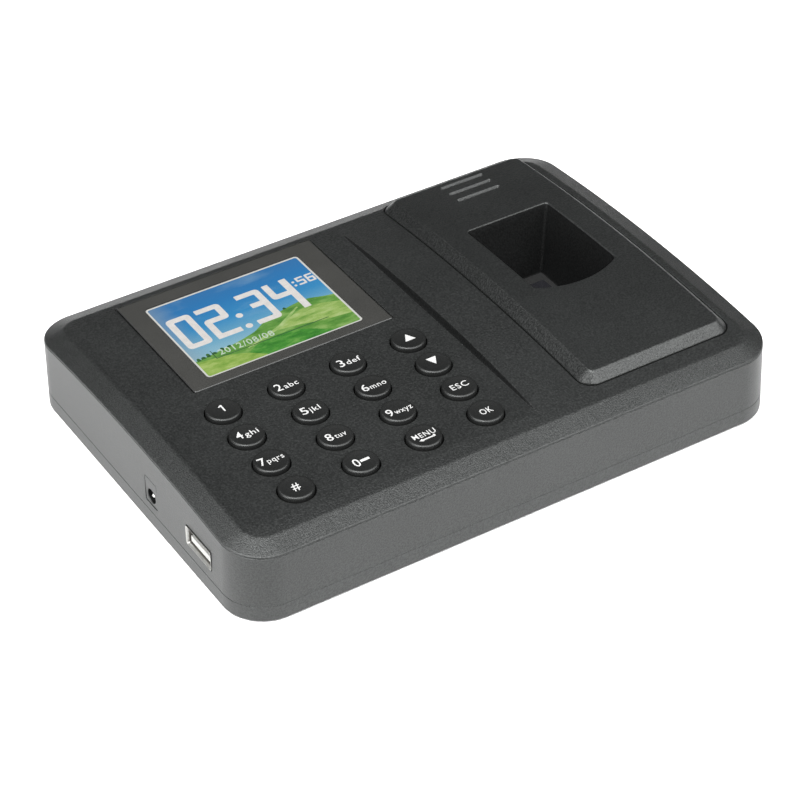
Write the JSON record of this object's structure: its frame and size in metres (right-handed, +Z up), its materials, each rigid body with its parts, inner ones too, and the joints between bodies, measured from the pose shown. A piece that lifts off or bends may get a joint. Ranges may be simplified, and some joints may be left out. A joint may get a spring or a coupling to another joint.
{
  "type": "fingerprint scanner terminal",
  "caption": "Desktop fingerprint time clock terminal: arched black casing, flush colour screen, round numeric keys, bevelled finger well panel, side data socket and power inlet.",
  "frame": {"origin": "on the ground under the middle of the casing", "axes": "+X along the long side away from the ports, +Y towards the top of the screen, +Z up out of the screen"},
  "size_m": [0.1704, 0.123, 0.0287],
  "materials": {
    "housing": "fine spark-eroded texture",
    "housing_panel": "fine satin texture",
    "cover": "fine spark-eroded texture",
    "window": "clear acrylic",
    "bezel_metal": "satin",
    "lcd": "lit colour picture",
    "light_guide": "diffuse white",
    "inner_plastic": "moulded",
    "flex": "polyimide film",
    "silicone": "moulded silicone",
    "board": "solder mask",
    "contact_metal": "gold flash",
    "screw_steel": "zinc plated",
    "chip": "moulded epoxy",
    "capacitor_sleeve": "shrink sleeve",
    "steel": "bright nickel",
    "connector_plastic": "moulded",
    "usb_plastic": "moulded",
    "jack_plastic": "moulded",
    "prism_glass": "polished glass",
    "rubber_seal": "matte",
    "paper": "pressed paper",
    "ferrite": "sintered",
    "mesh": "fine dust cloth",
    "key_plastic": "satin moulded, white legend"
  },
  "bodies": {
    "casing": {"upper_housing": "housing", "finger_cover": "housing_panel", "bottom_cover": "cover", "screen_window": "window", "lcd_bezel": "bezel_metal", "lcd_glass": "lcd", "lcd_backlight": "light_guide", "lcd_holder": "inner_plastic", "lcd_flex": "flex", "keypad_mat": "silicone", "keypad_board": "board", "dome_switches": "contact_metal", "keypad_flex": "flex", "keypad_screws": "screw_steel", "main_board": "board", "integrated_circuits": "chip", "electrolytic_capacitors": "capacitor_sleeve", "crystal_can": "steel", "buzzer": "chip", "flex_connectors": "connector_plastic", "board_screws": "screw_steel", "coin_cell_holder": "chip", "coin_cell": "steel", "usb_shell": "steel", "usb_tongue": "usb_plastic", "usb_contacts": "contact_metal", "dc_jack_body": "jack_plastic", "dc_jack_pin": "steel", "sensor_housing": "inner_plastic", "sensor_prism": "prism_glass", "sensor_lens": "inner_plastic", "sensor_board": "board", "sensor_gasket": "rubber_seal", "sensor_flex": "flex", "speaker_frame": "screw_steel", "speaker_cone": "paper", "speaker_magnet": "ferrite", "speaker_mesh": "mesh", "housing_screws": "screw_steel", "rubber_feet": "rubber_seal"},
    "key_1": {"key_1": "key_plastic"},
    "key_2": {"key_2": "key_plastic"},
    "key_3": {"key_3": "key_plastic"},
    "key_up": {"key_up": "key_plastic"},
    "key_4": {"key_4": "key_plastic"},
    "key_5": {"key_5": "key_plastic"},
    "key_6": {"key_6": "key_plastic"},
    "key_down": {"key_down": "key_plastic"},
    "key_7": {"key_7": "key_plastic"},
    "key_8": {"key_8": "key_plastic"},
    "key_9": {"key_9": "key_plastic"},
    "key_esc": {"key_esc": "key_plastic"},
    "key_hash": {"key_hash": "key_plastic"},
    "key_0": {"key_0": "key_plastic"},
    "key_menu": {"key_menu": "key_plastic"},
    "key_ok": {"key_ok": "key_plastic"}
  },
  "joints": [
    {"name": "key_1_press", "type": "slide", "parent": "casing", "child": "key_1", "axis": [0, 0, -1], "range_m": [0, 0.001], "stiffness_N_per_m": 600, "springref_m": -0.0005},
    {"name": "key_2_press", "type": "slide", "parent": "casing", "child": "key_2", "axis": [0, 0, -1], "range_m": [0, 0.001], "stiffness_N_per_m": 600, "springref_m": -0.0005},
    {"name": "key_3_press", "type": "slide", "parent": "casing", "child": "key_3", "axis": [0, 0, -1], "range_m": [0, 0.001], "stiffness_N_per_m": 600, "springref_m": -0.0005},
    {"name": "key_up_press", "type": "slide", "parent": "casing", "child": "key_up", "axis": [0, 0, -1], "range_m": [0, 0.001], "stiffness_N_per_m": 600, "springref_m": -0.0005},
    {"name": "key_4_press", "type": "slide", "parent": "casing", "child": "key_4", "axis": [0, 0, -1], "range_m": [0, 0.001], "stiffness_N_per_m": 600, "springref_m": -0.0005},
    {"name": "key_5_press", "type": "slide", "parent": "casing", "child": "key_5", "axis": [0, 0, -1], "range_m": [0, 0.001], "stiffness_N_per_m": 600, "springref_m": -0.0005},
    {"name": "key_6_press", "type": "slide", "parent": "casing", "child": "key_6", "axis": [0, 0, -1], "range_m": [0, 0.001], "stiffness_N_per_m": 600, "springref_m": -0.0005},
    {"name": "key_down_press", "type": "slide", "parent": "casing", "child": "key_down", "axis": [0, 0, -1], "range_m": [0, 0.001], "stiffness_N_per_m": 600, "springref_m": -0.0005},
    {"name": "key_7_press", "type": "slide", "parent": "casing", "child": "key_7", "axis": [0, 0, -1], "range_m": [0, 0.001], "stiffness_N_per_m": 600, "springref_m": -0.0005},
    {"name": "key_8_press", "type": "slide", "parent": "casing", "child": "key_8", "axis": [0, 0, -1], "range_m": [0, 0.001], "stiffness_N_per_m": 600, "springref_m": -0.0005},
    {"name": "key_9_press", "type": "slide", "parent": "casing", "child": "key_9", "axis": [0, 0, -1], "range_m": [0, 0.001], "stiffness_N_per_m": 600, "springref_m": -0.0005},
    {"name": "key_esc_press", "type": "slide", "parent": "casing", "child": "key_esc", "axis": [0, 0, -1], "range_m": [0, 0.001], "stiffness_N_per_m": 600, "springref_m": -0.0005},
    {"name": "key_hash_press", "type": "slide", "parent": "casing", "child": "key_hash", "axis": [0, 0, -1], "range_m": [0, 0.001], "stiffness_N_per_m": 600, "springref_m": -0.0005},
    {"name": "key_0_press", "type": "slide", "parent": "casing", "child": "key_0", "axis": [0, 0, -1], "range_m": [0, 0.001], "stiffness_N_per_m": 600, "springref_m": -0.0005},
    {"name": "key_menu_press", "type": "slide", "parent": "casing", "child": "key_menu", "axis": [0, 0, -1], "range_m": [0, 0.001], "stiffness_N_per_m": 600, "springref_m": -0.0005},
    {"name": "key_ok_press", "type": "slide", "parent": "casing", "child": "key_ok", "axis": [0, 0, -1], "range_m": [0, 0.001], "stiffness_N_per_m": 600, "springref_m": -0.0005}
  ]
}
